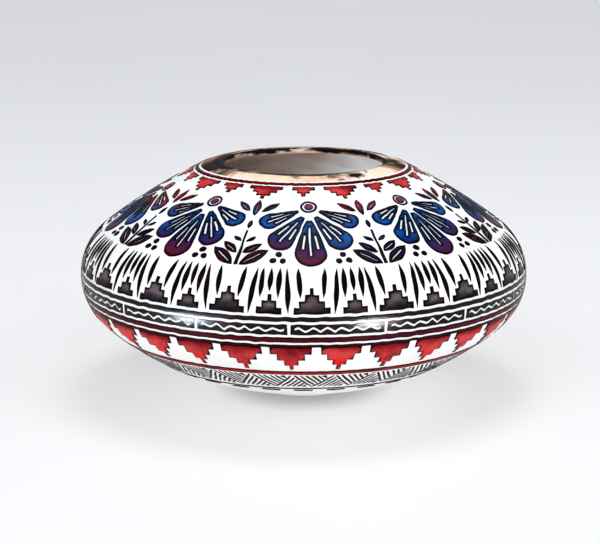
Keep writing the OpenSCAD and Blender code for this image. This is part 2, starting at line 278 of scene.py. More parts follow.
# A flat sheet in millimetres, X round the pot and Y up it, from a grid whose unwanted cells are deleted
def gridSheet(name, xs, ys, keep=None, place=None):
    startFresh()
    bpy.ops.mesh.primitive_grid_add(x_subdivisions=len(xs) - 1, y_subdivisions=len(ys) - 1)
    sheet = bpy.context.object
    sheet.name = sheet.data.name = name
    for vertex in sheet.data.vertices:
        vertex.co = (xs[vertex.index % len(xs)], ys[vertex.index // len(xs)], 0)
    sheet.data.update()
    if keep:
        pick(sheet, "FACE", lambda face: not keep(face.center.x, face.center.y))
        bpy.ops.mesh.delete(type="FACE")
        bpy.ops.object.mode_set(mode="OBJECT")
    if place:
        for vertex in sheet.data.vertices:
            vertex.co = place(vertex.co.x, vertex.co.y)
    return sheet


def setMark(mesh, name, values):
    attribute = mesh.attributes.new(name, "FLOAT", "POINT")
    attribute.data.foreach_set("value", np.asarray(values, np.float32))


# How far each point lies from the sheet's cut edge, for the dark rim of a slip
def markRim(sheet, joined=None):
    mesh = sheet.data
    spots = readSpots(mesh)[:, :2]
    uses = np.zeros(len(mesh.edges), int)
    edges = np.empty(len(mesh.loops), int)
    mesh.loops.foreach_get("edge_index", edges)
    np.add.at(uses, edges, 1)
    ends = np.array([edge.vertices[:] for edge in mesh.edges])[uses == 1]
    if joined:
        middles = (spots[ends[:, 0]] + spots[ends[:, 1]]) / 2
        ends = ends[[not joined(x, y) for x, y in middles]]
    start = spots[ends[:, 0]]
    along = spots[ends[:, 1]] - start
    away = spots[:, None] - start
    share = np.clip((away * along).sum(-1) / (along ** 2).sum(-1), 0, 1)
    rim = np.sqrt(((away - share[..., None] * along) ** 2).sum(-1)).min(1)
    setMark(mesh, "rim", rim)


# Every coat of slip, with the lean and the size that a copy in a row may be off by
coat = {
    "proud": 0.3,
    "sunk": 0.12,
    "soften": 0.09,
    "inset": 0.45,
    "column": 1.5,
    "ringColumns": 420,
    "smooth": 35,
    "lean": 0.7,
    "grow": (0.98, 1.02),
}


def raiseSheet(sheet, share=1):
    thick = sheet.modifiers.new("coat", "SOLIDIFY")
    thick.thickness = coat["proud"] + coat["sunk"]
    thick.offset = 1
    bpy.ops.object.modifier_apply(modifier="coat")
    sides = {key for face in sheet.data.polygons if abs(face.normal.z) < 0.5 for key in face.edge_keys}
    heights = [vertex.co.z for vertex in sheet.data.vertices]
    top = coat["proud"]
    pick(sheet, "EDGE", lambda edge: edge.key in sides and min(heights[i] for i in edge.vertices) > top)
    bpy.ops.mesh.bevel(offset=coat["soften"], segments=2, affect="EDGES")
    bpy.ops.object.mode_set(mode="OBJECT")
    for vertex in sheet.data.vertices:
        vertex.co.z -= coat["sunk"]
        vertex.co.z *= share if vertex.co.z > 0 else 1


# One copy of a sheet laid on the wall, leaning to the right by an angle
def layOn(sheet, turn, length, lean=0, grow=1, steady=False):
    laid = sheet.copy()
    laid.data = sheet.data.copy()
    bpy.context.scene.collection.objects.link(laid)
    spots = readSpots(laid.data)
    cosine = math.cos(math.radians(lean)) * grow
    sine = math.sin(math.radians(lean)) * grow
    across = spots[:, 0] * cosine + spots[:, 1] * sine
    up = length + spots[:, 1] * cosine - spots[:, 0] * sine
    r = wallPoint(length if steady else up, 0)[0]
    writeSpots(laid.data, onPot(turn + np.degrees(across / r), up, spots[:, 2]))
    return laid


def putAway(sheet):
    bpy.data.meshes.remove(sheet.data)


# Copies of a sheet at some turns, each leaning a little its own way
def layAround(sheet, turns, length, lean, sway):
    copies = [layOn(sheet, turn, length, lean + luck.uniform(-sway, sway)) for turn in turns]
    putAway(sheet)
    return copies


# Pairs of copies to the left and right of some turns, leaning outwards
def layPairs(sheet, turns, off, length, lean, sway):
    copies = []
    for turn in turns:
        for side in (-1, 1):
            outwards = side * (lean + luck.uniform(-sway, sway))
            copies.append(layOn(sheet, turn + side * off, length, outwards))
    putAway(sheet)
    return copies


def joinUp(name, copies):
    startFresh()
    for one in copies:
        one.select_set(True)
    bpy.context.view_layer.objects.active = copies[0]
    bpy.ops.object.join()
    piece = bpy.context.object
    piece.name = piece.data.name = name
    return piece


# An even row of copies round the pot, each with its own slight lean and size
def ringOf(name, sheet, count, turn, length, lean=coat["lean"]):
    copies = []
    for i in range(count):
        ownLean = luck.uniform(-lean, lean)
        ownSize = luck.uniform(*coat["grow"])
        copies.append(layOn(sheet, turn + 360 * i / count, length, ownLean, ownSize, True))
    putAway(sheet)
    return joinUp(name, copies)


def settle(piece, node, finish, slot, smooth=coat["smooth"]):
    formByHand(piece.data)
    takeUp(piece)
    bpy.ops.object.shade_smooth_by_angle(angle=math.radians(smooth))
    piece.data.materials.clear()
    piece.data.materials.append(finish)
    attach(piece, "root")
    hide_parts(node)
    print(piece.name, "settled with", len(piece.data.polygons), "faces")


# Material helpers
def newFinish(name):
    finish = bpy.data.materials.new(name)
    finish.use_nodes = True
    tree = finish.node_tree
    tree.nodes.clear()
    shader = tree.nodes.new("ShaderNodeBsdfPrincipled")
    end = tree.nodes.new("ShaderNodeOutputMaterial")
    tree.links.new(shader.outputs["BSDF"], end.inputs["Surface"])
    return finish, tree, shader


def put(tree, kind, sockets, **settings):
    made = tree.nodes.new("ShaderNode" + kind)
    for key, value in settings.items():
        setattr(made, key, value)
    for key, value in sockets.items():
        if isinstance(value, bpy.types.NodeSocket):
            tree.links.new(value, made.inputs[key])
        else:
            made.inputs[key].default_value = value
    return made


def ramp(tree, value, stops, smooth=False):
    made = put(tree, "ValToRGB", {"Fac": value})
    made.color_ramp.interpolation = "EASE" if smooth else "LINEAR"
    band = made.color_ramp.elements
    while len(band) < len(stops):
        band.new(1)
    for element, (place, colour) in zip(band, stops):
        element.position = place
        element.color = (*colour, 1)
    return made.outputs["Color"]


def blend(tree, share, first, second, way="MIX"):
    made = put(tree, "Mix", {0: share, 6: first, 7: second}, data_type="RGBA", blend_type=way)
    return made.outputs[2]


def spread(tree, value, low, high, toLow=0.0, toHigh=1.0):
    sockets = {"Value": value, "From Min": low, "From Max": high, "To Min": toLow, "To Max": toHigh}
    return put(tree, "MapRange", sockets).outputs["Result"]


def reckon(tree, way, first, second=0):
    return put(tree, "Math", {0: first, 1: second}, operation=way).outputs[0]


def objectPlace(tree):
    return put(tree, "TexCoord", {}).outputs["Object"]


def placeAlong(tree, axis):
    return put(tree, "SeparateXYZ", {"Vector": objectPlace(tree)}).outputs[axis]


def awayFrom(tree, spot):
    return put(tree, "VectorMath", {0: objectPlace(tree), 1: spot}, operation="DISTANCE").outputs["Value"]


def noise(tree, scale, detail, rough=0.55, warp=0):
    sockets = {"Scale": scale, "Detail": detail, "Roughness": rough, "Distortion": warp}
    return put(tree, "TexNoise", {"Vector": objectPlace(tree), **sockets}).outputs["Fac"]


def markOf(tree, name):
    return put(tree, "Attribute", {}, attribute_name=name).outputs["Fac"]


cloudSpan = (0.3, 0.7)  # where most of a noise lies


# A noise that swings by an amount to both sides of nothing
def drifting(tree, kind, by):
    return spread(tree, noise(tree, *kind), *cloudSpan, -by, by)


# The colour, a gloss that follows its clouds, and a fine grain
def burnish(tree, shader, colour, cloud, skin):
    tree.links.new(colour, shader.inputs["Base Color"])
    tree.links.new(spread(tree, cloud, *cloudSpan, *skin["gloss"]), shader.inputs["Roughness"])
    grain = noise(tree, *skin["grain"])
    bump = put(tree, "Bump", {"Height": grain, "Strength": skin["strength"], "Distance": skin["deep"] * mm})
    tree.links.new(bump.outputs["Normal"], shader.inputs["Normal"])
    shader.inputs["Specular IOR Level"].default_value = skin["shine"]


# White etched ground of the clay; a noise is given by its scale, detail, roughness and warp
groundMix = {
    "cloud": (26, 6, 0.6),
    "tones": [(0.3, (0.84, 0.83, 0.8)), (0.5, (0.92, 0.915, 0.9)), (0.72, (0.95, 0.95, 0.94))],
    "speck": (900, 2),
    "speckTones": [(0.69, (1, 1, 1)), (0.76, (0.72, 0.7, 0.68))],
    "speckShare": 0.55,
    "skin": {"gloss": (0.5, 0.66), "grain": (1400, 3), "strength": 0.18, "deep": 0.12, "shine": 0.5},
}


def whiteGround():
    finish, tree, shader = newFinish("whiteGround")
    cloud = noise(tree, *groundMix["cloud"])
    shade = ramp(tree, cloud, groundMix["tones"])
    speck = ramp(tree, noise(tree, *groundMix["speck"]), groundMix["speckTones"])
    colour = blend(tree, groundMix["speckShare"], shade, speck, "MULTIPLY")
    burnish(tree, shader, colour, cloud, groundMix["skin"])
    return finish


# Burnished bare clay of the lip, with smoke at its sides, burnt marks of horse hair and a sooty edge with
# painted shade on it
lipMarks = {
    "ring": 42,
    "high": 101,
    "cloud": (24, 5, 0.6),
    "clay": [(0.3, (0.64, 0.33, 0.18)), (0.43, (0.92, 0.64, 0.46)), (0.6, (0.98, 0.83, 0.67))],
    "haze": (19, 3, 0.5, 0.6),
    "smoke": ((-70, 20, 0.27), (-112, 20, 0.12), (80, 20, 0.3), (170, 26, 0.1)),  # turn, reach, amount
    "smokeFull": 0.25,
    "smokeTones": [(0.58, (1, 1, 1)), (0.66, (0.4, 0.27, 0.2)), (0.8, (0.03, 0.016, 0.012))],
    "hair": (75, 1, 0.5, 1.6),
    "hairTones": [(0.045, (0.01, 0.007, 0.005)), (0.065, (1, 1, 1))],
    "patch": (30, 2),
    "patchShares": [(0.63, (0, 0, 0)), (0.67, (1, 1, 1))],
    "hairs": ((-9, 3.5), (31, 5.5), (-36, 3), (128, 8), (-150, 9), (170, 9)),  # turn, reach
    "hairFull": 0.6,
    "behind": 20,
    "cleanTurn": 80,
    "cleanReach": (24, 48),
    "cleanSoot": 0.15,
    # soot along the edge with painted shade on it, kept darkest at the front and thinned at the back
    "behindSootAndShade": 0.2,
    "sootAndShadeNoise": (34, 3),
    "sootAndShadeSpan": (0.35, 0.65),
    "sootAndShadeWide": (3, 5),
    "sootAndShadeTones": [(0.78, (0.012, 0.008, 0.007)), (1.0, (1, 1, 1))],
    "backLine": (0.9, 2.2, 3.8, 5),
    "backTone": (0.03, 0.02, 0.016, 1),
    "ragged": (90, 3),
    "raggedBy": 0.9,
    "rimFrom": 0.2,
    "rimFull": 1.8,
    "rimShares": [(0.0, (0, 0, 0)), (0.35, (1, 1, 1))],
    "pale": (48, 3),
    "paleTones": [(0.44, (0.4, 0.31, 0.25)), (0.58, (0.85, 0.68, 0.55))],
    "edgeFull": 3,
    "edgeTones": [
        (0.1, (0.01, 0.007, 0.006)), (0.32, (0.025, 0.018, 0.015)),
        (0.5, (0.5, 0.45, 0.42)), (0.8, (1, 1, 1)),
    ],
    "blotch": (42, 3, 0.5, 0.8),
    "blotchShares": [(0.47, (0.1, 0.1, 0.1)), (0.53, (1, 1, 1))],
    "skin": {"gloss": (0.38, 0.55), "grain": (500, 3), "strength": 0.08, "deep": 0.1, "shine": 0.06},
}


def awayFromLip(tree, turn):
    around = math.radians(turn)
    ring = lipMarks["ring"]
    spot = (ring * math.sin(around) * mm, -ring * math.cos(around) * mm, lipMarks["high"] * mm)
    return awayFrom(tree, spot)


def lipNoise(tree, kind, tones):
    return ramp(tree, noise(tree, *lipMarks[kind]), lipMarks[tones])


def lipSmoke(tree, clay):
    haze = noise(tree, *lipMarks["haze"])
    for turn, reach, amount in lipMarks["smoke"]:
        full = lipMarks["smokeFull"] * reach
        near = spread(tree, awayFromLip(tree, turn), full * mm, reach * mm, amount, 0)
        haze = reckon(tree, "ADD", haze, near)
    return blend(tree, 1, clay, ramp(tree, haze, lipMarks["smokeTones"], True), "MULTIPLY")


def lipHairs(tree, smoked):
    strand = reckon(tree, "SUBTRACT", noise(tree, *lipMarks["hair"]), 0.5)
    burnt = ramp(tree, reckon(tree, "ABSOLUTE", strand), lipMarks["hairTones"])
    patch = lipNoise(tree, "patch", "patchShares")
    for turn, reach in lipMarks["hairs"]:
        full = lipMarks["hairFull"] * reach
        near = spread(tree, awayFromLip(tree, turn), full * mm, reach * mm, 1, 0)
        patch = reckon(tree, "MAXIMUM", patch, near)
    return blend(tree, patch, smoked, blend(tree, 1, smoked, burnt, "MULTIPLY"))


# Soot and painted shade along the edge, darkest at the front, least at the back and on the clean side, and a
# dark line round the back
def lipSootAndShade(tree, lined):
    toEdge = markOf(tree, "reach")
    behind = spread(tree, placeAlong(tree, "Y"), 0, lipMarks["behind"] * mm)
    low, high = lipMarks["cleanReach"]
    toClean = awayFromLip(tree, lipMarks["cleanTurn"])
    clean = spread(tree, toClean, low * mm, high * mm, lipMarks["cleanSoot"], 1)
    less = reckon(tree, "MINIMUM", clean, spread(tree, behind, 0, 1, 1, lipMarks["behindSootAndShade"]))
    sootAndShadeNoise = noise(tree, *lipMarks["sootAndShadeNoise"])
    wide = spread(tree, sootAndShadeNoise, *lipMarks["sootAndShadeSpan"], *lipMarks["sootAndShadeWide"])
    sootAndShadeDepth = reckon(tree, "DIVIDE", toEdge, reckon(tree, "MULTIPLY", less, wide))
    sootedAndShaded = blend(tree, 1, lined, ramp(tree, sootAndShadeDepth, lipMarks["sootAndShadeTones"]), "MULTIPLY")
    near, nearFull, farFull, far = lipMarks["backLine"]
    nearSide = spread(tree, toEdge, near, nearFull)
    farSide = spread(tree, toEdge, farFull, far, 1, 0)
    line = reckon(tree, "MULTIPLY", reckon(tree, "MULTIPLY", nearSide, farSide), behind)
    return blend(tree, line, sootedAndShaded, lipMarks["backTone"])


# Round edge and inner side, which are pale below a ragged line, with dark blotches along it
def lipRim(tree, lipTop):
    torn = drifting(tree, lipMarks["ragged"], lipMarks["raggedBy"])
    ragged = reckon(tree, "ADD", markOf(tree, "rim"), torn)
    inward = ramp(tree, spread(tree, ragged, lipMarks["rimFrom"], lipMarks["rimFull"]), lipMarks["rimShares"])
    pale = lipNoise(tree, "pale", "paleTones")
    edge = ramp(tree, spread(tree, ragged, lipMarks["rimFrom"], lipMarks["edgeFull"]), lipMarks["edgeTones"])
    blotch = lipNoise(tree, "blotch", "blotchShares")
    rimmed = blend(tree, blotch, pale, blend(tree, 1, pale, edge, "MULTIPLY"))
    return blend(tree, inward, lipTop, rimmed)


def bareLip():
    finish, tree, shader = newFinish("bareLip")
    cloud = noise(tree, *lipMarks["cloud"])
    smoked = lipSmoke(tree, ramp(tree, cloud, lipMarks["clay"]))
    lipTop = lipSootAndShade(tree, lipHairs(tree, smoked))
    burnish(tree, shader, lipRim(tree, lipTop), cloud, lipMarks["skin"])
    return finish


# Smoked and burnished inside, with painted shade and a painted sheen across it: brown to the left, a painted
# silvery sheen right of the middle and smoky again beyond
insideSmokeAndSheen = {
    "cloud": (15, 2, 0.45, 0.4),
    "across": 60,
    "acrossBy": 0.4,
    "tones": [
        (0.2, (0.2, 0.13, 0.09)), (0.42, (0.4, 0.33, 0.28)), (0.6, (0.72, 0.73, 0.75)),
        (0.74, (0.98, 0.99, 1)), (0.9, (0.5, 0.46, 0.44)), (1.0, (0.3, 0.25, 0.22)),
    ],
    "skin": {"gloss": (0.22, 0.38), "grain": (220, 4), "strength": 0.1, "deep": 0.2, "shine": 0.5},
}


def smokedInsideAndSheen():
    finish, tree, shader = newFinish("smokedInsideAndSheen")
    cloud = noise(tree, *insideSmokeAndSheen["cloud"])
    wide = insideSmokeAndSheen["across"] * mm
    by = insideSmokeAndSheen["acrossBy"]
    # From left to right across the pot, the colour carries painted shade on the left and a painted silvery
    # sheen on the right
    drift = spread(tree, placeAlong(tree, "X"), -wide, wide, -by, by)
    smoke = ramp(tree, reckon(tree, "ADD", cloud, drift), insideSmokeAndSheen["tones"])
    burnish(tree, shader, smoke, cloud, insideSmokeAndSheen["skin"])
    return finish


# What all slips share, and what is the plain slips' own and the steps' own
slipMix = {
    "cloud": (120, 4, 0.6),
    "fraySpan": (0.25, 0.75),
    "skin": {"gloss": (0.24, 0.4), "grain": (800, 3), "strength": 0.08, "deep": 0.08, "shine": 0.05},
}
plainMix = {
    "fray": (0.7, 1.3),
    "patch": (60, 4),
    "patchSpan": (0.42, 0.66),
    "shine": 0.03,
}
stepMix = {
    "fray": (0.6, 1.4),
    "patch": (90, 4),
    "patchSpan": (0.42, 0.68),
    "drift": (70, 3),
    "driftBy": 0.18,
    "edgeTones": [
        (0.0, (0.015, 0.01, 0.01)), (0.3, (0.06, 0.05, 0.05)), (0.7, (0.75, 0.72, 0.72)), (1.0, (1, 1, 1)),
    ],
}


def frayedRim(tree, cloud, mix):
    fray = spread(tree, cloud, *slipMix["fraySpan"], *mix["fray"])
    return reckon(tree, "MULTIPLY", markOf(tree, "rim"), fray)


def patchedOver(tree, mix, colour, patch, amount):
    low, high = mix["patchSpan"]
    patches = ramp(tree, noise(tree, *mix["patch"]), [(low, (0, 0, 0)), (high, (amount,) * 3)])
    return blend(tree, patches, colour, patch)


# A glossy slip whose colour runs from its cut edge to its middle
def rimSlip(name, fade, tones, patch, amount, gloss=slipMix["skin"]["gloss"], shine=plainMix["shine"]):
    finish, tree, shader = newFinish(name)
    cloud = noise(tree, *slipMix["cloud"])
    colour = ramp(tree, spread(tree, frayedRim(tree, cloud, plainMix), 0, fade), tones)
    mottled = patchedOver(tree, plainMix, colour, patch, amount)
    burnish(tree, shader, mottled, cloud, {**slipMix["skin"], "gloss": gloss, "shine": shine})
    return finish


# Slip of a step, which changes from its base to its tip and darkens to its cut edge
def stepSlip(name, tones, edge, patch, amount):
    finish, tree, shader = newFinish(name)
    cloud = noise(tree, *slipMix["cloud"])
    drift = drifting(tree, stepMix["drift"], stepMix["driftBy"])
    tone = ramp(tree, reckon(tree, "ADD", markOf(tree, "reach"), drift), tones)
    mottled = patchedOver(tree, stepMix, tone, patch, amount)
    dark = ramp(tree, spread(tree, frayedRim(tree, cloud, stepMix), 0, edge), stepMix["edgeTones"])
    burnish(tree, shader, blend(tree, 1, mottled, dark, "MULTIPLY"), cloud, slipMix["skin"])
    return finish


# Sprayed colours of the shoulder, from black at the belly through plum and blue to red at the mouth
sprayMix = {
    "cloud": (55, 4, 0.6),
    "drift": (14, 2),
    "driftBy": 4.5,
    "low": 73,
    "high": 103,
    "tones": [
        (0.0, (0.03, 0.004, 0.01)), (0.12, (0.13, 0.008, 0.03)), (0.24, (0.08, 0.01, 0.07)),
        (0.35, (0.008, 0.03, 0.15)), (0.44, (0.002, 0.11, 0.4)), (0.57, (0.004, 0.1, 0.34)),
        (0.65, (0.13, 0.04, 0.12)), (0.73, (0.6, 0.018, 0.035)),
    ],
    "wornSpan": (0.42, 0.75),
    "wornAmount": 0.5,
    "worn": (0.035, 0.035, 0.06, 1),
    "edgeTones": [(0.0, (0.02, 0.02, 0.025)), (0.38, (0.12, 0.11, 0.14)), (0.95, (1, 1, 1))],
    "gloss": (0.26, 0.42),
}


def sprayedSlip(name, rimWide):
    finish, tree, shader = newFinish(name)
    cloud = noise(tree, *sprayMix["cloud"])
    drift = drifting(tree, sprayMix["drift"], sprayMix["driftBy"] * mm)
    level = reckon(tree, "ADD", placeAlong(tree, "Z"), drift)
    colour = ramp(tree, spread(tree, level, sprayMix["low"] * mm, sprayMix["high"] * mm), sprayMix["tones"])
    wear = spread(tree, cloud, *sprayMix["wornSpan"], 0, sprayMix["wornAmount"])
    worn = blend(tree, wear, colour, sprayMix["worn"])
    edge = ramp(tree, spread(tree, markOf(tree, "rim"), 0, rimWide), sprayMix["edgeTones"])
    skin = {**slipMix["skin"], "gloss": sprayMix["gloss"]}
    burnish(tree, shader, blend(tree, 1, worn, edge, "MULTIPLY"), cloud, skin)
    return finish


white = whiteGround()
lipClay = bareLip()
smokedClayAndSheen = smokedInsideAndSheen()
sprayed = sprayedSlip("sprayed", rimWide=1.6)
sprayedLeaf = sprayedSlip("sprayedLeaf", rimWide=0.75)
redTones = [
    (0.05, (0.25, 0.005, 0.01)), (0.35, (0.61, 0.066, 0.072)), (0.6, (0.69, 0.058, 0.06)),
    (0.85, (0.77, 0.02, 0.02)),
]
redStep = stepSlip("redStep", redTones, edge=0.8, patch=(0.15, 0.004, 0.009, 1), amount=0.75)
redLineTones = [
    (0.0, (0.01, 0.001, 0.002)), (0.35, (0.06, 0.001, 0.003)), (0.6, (0.36, 0.004, 0.008)),
    (1.0, (0.5, 0.006, 0.01)),
]
redLine = rimSlip("redLine", 1.2, redLineTones, patch=(0.04, 0.002, 0.004, 1), amount=0.9)
maroonTones = [
    (0.0, (0.004, 0.001, 0.002)), (0.4, (0.02, 0.001, 0.003)), (0.75, (0.11, 0.002, 0.008)),
    (1.0, (0.14, 0.003, 0.012)),
]
maroon = rimSlip("maroon", 1.05, maroonTones, patch=(0.03, 0.002, 0.012, 1), amount=0.8, shine=0.08)
blackTones = [(0.0, (0.0015, 0.0015, 0.0015)), (0.6, (0.003, 0.0025, 0.003)), (1.0, (0.006, 0.004, 0.007))]
black = rimSlip("black", 1.6, blackTones, patch=(0.02, 0.004, 0.012, 1), amount=0.5)
shinyPatch = (0.03, 0.004, 0.012, 1)
shinyBlack = rimSlip("shinyBlack", 1.6, blackTones, shinyPatch, amount=0.6, gloss=(0.14, 0.3), shine=0.2)
greyTones = [
    (0.1, (0.012, 0.009, 0.011)), (0.26, (0.05, 0.04, 0.045)), (0.45, (0.155, 0.13, 0.14)),
    (0.68, (0.13, 0.11, 0.12)), (0.82, (0.02, 0.016, 0.018)),
]
greyStep = stepSlip("greyStep", greyTones, edge=1.7, patch=(0.07, 0.035, 0.055, 1), amount=0.7)
print("finishes mixed")


# Clay sections, from the foot up
def footRing():
    outer = potShape["footWide"] / 2
    inner = outer - potShape["footRing"]
    soft = potShape["footRound"]
    high = potShape["footHigh"]
    quarter = [math.radians(90 * i / wheel["footRows"]) for i in range(wheel["footRows"] + 1)]
    section = [(inner, high)]
    section += [(inner + soft - soft * math.cos(a), soft - soft * math.sin(a)) for a in quarter]
    section += [(outer - soft + soft * math.sin(a), soft - soft * math.cos(a)) for a in quarter]
    section.append((outer, high))
    return turned("footRing", section)


def baseDisc():
    outer = potShape["footWide"] / 2
    inner = outer - potShape["footRing"]
    under = potShape["footHigh"]
    topR, topZ = (float(one) for one in wallPoint(0, -potShape["wall"]))
    section = [(0, under), (inner, under), (outer, under), (topR, topZ), (topR / 2, topZ), (0, topZ)]
    return turned("baseDisc", section, toAxis=True)


def claySection(name, low, high, row):
    count = max(wheel["fewestRows"], round((high - low) / row))
    lengths = np.linspace(low, high, count + 1)
    section = list(zip(*wallPoint(lengths, 0)))
    section += list(zip(*wallPoint(lengths[::-1], -potShape["wall"])))
    return turned(name, section)


# The lip's inner side, straight from the seam to the edge
def lipInside(depth):
    low = np.array(wallPoint(lipStart, -potShape["wall"] - depth))
    high = np.array(wallPoint(lipEnd, -potShape["lipEdge"] - depth))
    last = wheel["insideRows"] - 1
    return [tuple(low + (high - low) * i / last) for i in range(wheel["insideRows"])]


def mouthLip():
    section = list(zip(*wallPoint(np.linspace(lipStart, lipEnd, wheel["lipRows"]), 0)))
    halfEdge = potShape["lipEdge"] / 2
    edgeR, edgeZ = (float(one) for one in wallPoint(lipEnd, -halfEdge))
    turn = lipArc["angle"] + math.radians(potShape["lipCurl"])
    for i in range(1, wheel["edgeRows"]):
        a = turn + math.radians(180 * i / wheel["edgeRows"])
        section.append((edgeR + halfEdge * math.cos(a), edgeZ + halfEdge * math.sin(a)))
    section += lipInside(0)[::-1]
    lip = turned("mouthLip", section, steps=wheel["lipSteps"])
    spots = readSpots(lip.data) / mm
    r = np.hypot(spots[:, 0], spots[:, 1])
    setMark(lip.data, "rim", potShape["lipArc"] - np.hypot(r - lipArc["r"], spots[:, 2] - lipArc["z"]))
    setMark(lip.data, "reach", lipEnd - wallLength(r, spots[:, 2]))
    return lip


def innerLining():
    lengths = np.linspace(0, lipStart, wheel["liningRows"])
    outside = list(zip(*wallPoint(lengths[:-1], -potShape["wall"]))) + lipInside(0)
    inside = list(zip(*wallPoint(lengths[:-1], -potShape["wall"] - potShape["lining"])))
    inside += lipInside(potShape["lining"])
    floor = [0.0, 0.5]
    section = [(outside[0][0] * share, outside[0][1]) for share in floor]
    section += outside + inside[::-1]
    section += [(inside[0][0] * share, inside[0][1]) for share in floor[::-1]]
    return turned("innerLining", section, toAxis=True, steps=wheel["liningSteps"])


settle(footRing(), "foot_ring", white, "white_clay")
settle(baseDisc(), "base_disc", white, "white_clay")
for name, node, low, high, row in (
    ("lowerBowl", "lower_bowl", 0, bellyStart, wheel["row"]),
    ("lowerBelly", "lower_belly_ring", bellyStart, widest, wheel["bellyRow"]),
    ("upperBelly", "upper_belly_ring", widest, shoulderStart, wheel["bellyRow"]),
    ("shoulderWall", "shoulder_wall", shoulderStart, lipStart, wheel["row"]),
):
    settle(claySection(name, low, high, row), node, white, "white_clay")
settle(mouthLip(), "mouth_lip", lipClay, "bare_clay", wheel["smooth"])
settle(innerLining(), "inner_lining", smokedClayAndSheen, "smoked_clay", wheel["smooth"])
print("clay built")


# A coat that runs all the way round, somewhat fuller than its row where asked
def ringBand(name, node, fuller):
    low, high = rowOf(node)
    low -= fuller
    wide = high + fuller - low
    top = coat["proud"]
    soft = coat["soften"]
    partSoft = 0.3 * soft  # half way round the softened edge
    half = [(0, -coat["sunk"]), (0, top - soft), (partSoft, top - partSoft), (soft, top)]
    half.append((min(coat["inset"], wide / 3), top))
    section = half + [(wide / 2, top)]
    section += [(wide - y, z) for y, z in half[::-1]]
    section.append(section[0])
    columns = coat["ringColumns"]
    turns = [-180 + 360 * i / columns for i in range(columns + 1)]
    rows = list(range(len(section)))
    band = gridSheet(name, turns, rows, place=lambda x, row: (x, *section[round(row)]))
    spots = readSpots(band.data)
    setMark(band.data, "rim", np.minimum(spots[:, 1], wide - spots[:, 1]))
    writeSpots(band.data, onPot(spots[:, 0], low + spots[:, 1], spots[:, 2]))
    closeUp(band)
    return band


for name, node, finish, slot, fuller in (
    ("mouthLine", "mouth_line", redLine, "maroon_slip", 0),
    ("blackBand", "black_band", shinyBlack, "black_slip", 0),
    ("maroonBand", "maroon_band", maroon, "maroon_slip", 0),
    ("stepBorder", "step_border", maroon, "maroon_slip", 0),
    ("redLine", "red_line", redLine, "red_slip", 0.2),
    ("baseLine", "base_line", black, "black_slip", 0),
):
    settle(ringBand(name, node, fuller), node, finish, slot)
print("bands laid")


# Marks with further ones between them, none further apart than a step
def finer(marks, step):
    out = [marks[0]]
    for low, high in zip(marks, marks[1:]):
        count = max(1, math.ceil((high - low) / step))
        out += [low + (high - low) * i / count for i in range(1, count + 1)]
    return out


# Stepped triangle that narrows evenly from its first tier, upwards or downwards
def stepSheet(first, last, tiers, high, up, joined=None):
    halves = [(first + (last - first) * i / (tiers - 1)) / 2 for i in range(tiers)]
    right = finer([0] + halves[::-1], coat["column"])
    xs = [-x for x in right[:0:-1]] + right
    ys = sorted(up * y for y in finer([high * i for i in range(tiers + 1)], high / 2))
    sheet = gridSheet("step", xs, ys, lambda x, y: abs(x) < halves[min(int(abs(y) / high), tiers - 1)])
    markRim(sheet, joined)
    setMark(sheet.data, "reach", np.abs(readSpots(sheet.data)[:, 1]) / (tiers * high))
    raiseSheet(sheet)
    return sheet


def stepRow(name, node, steps, size, length, finish, slot):
    one = steps[size]
    sheet = stepSheet(one["wide"], steps["tip"], one["tiers"], steps["tier"], steps["up"])
    settle(ringOf(name, sheet, steps["count"], one["turn"], length), node, finish, slot)


# Red steps that hang round the mouth
mouthSteps = {
    "count": 10,
    "tip": 1.6,
    "tier": 2.1,
    "up": -1,
    "large": {"wide": 14.2, "tiers": 4, "turn": 18},
    "small": {"wide": 9.3, "tiers": 3, "turn": 0},
}
mouthTop = rowOf("mouth_steps_large")[1]
stepRow("mouthStepsLarge", "mouth_steps_large", mouthSteps, "large", mouthTop, redStep, "red_slip")
stepRow("mouthStepsSmall", "mouth_steps_small", mouthSteps, "small", mouthTop, redStep, "red_slip")

# Grey steps that stand above the belly
bellySteps = {
    "count": 18,
    "tip": 1.6,
    "tier": 2.6,
    "up": 1,
    "large": {"wide": 15, "tiers": 4, "turn": 2},
    "small": {"wide": 10.3, "tiers": 3, "turn": 12},
}
bellyFoot = rowOf("belly_steps_large")[0]
stepRow("bellyStepsLarge", "belly_steps_large", bellySteps, "large", bellyFoot, greyStep, "grey_slip")
stepRow("bellyStepsSmall", "belly_steps_small", bellySteps, "small", bellyFoot, greyStep, "grey_slip")

# Red steps that hang below the belly, each with a tip of its own
redSteps = {
    "count": 30,
    "turn": -3,
    "wide": 17,
    "neck": 6,
    "tiers": 3,
    "lean": 0.5,
    "tip": 1.6,
    "tipRows": 5,
    "tipLean": 1.5,
}
redLow, redTop = rowOf("red_steps")
redTier = (redTop - redLow) / redSteps["tiers"]
halfTip = redSteps["tip"] / 2


# Where a tip joins its step, so that no dark rim crosses there
def atTip(x, y):
    return abs(x) < halfTip + 0.5 and y < (0.1 - redSteps["tiers"]) * redTier


def redTip(high):
    rows = [-high * i / redSteps["tipRows"] for i in range(redSteps["tipRows"], -1, -1)]
    sheet = gridSheet("tip", [-halfTip, 0, halfTip], rows)
    markRim(sheet, lambda x, y: y > -0.01)
    setMark(sheet.data, "reach", np.ones(len(sheet.data.vertices)))
    raiseSheet(sheet)
    return sheet


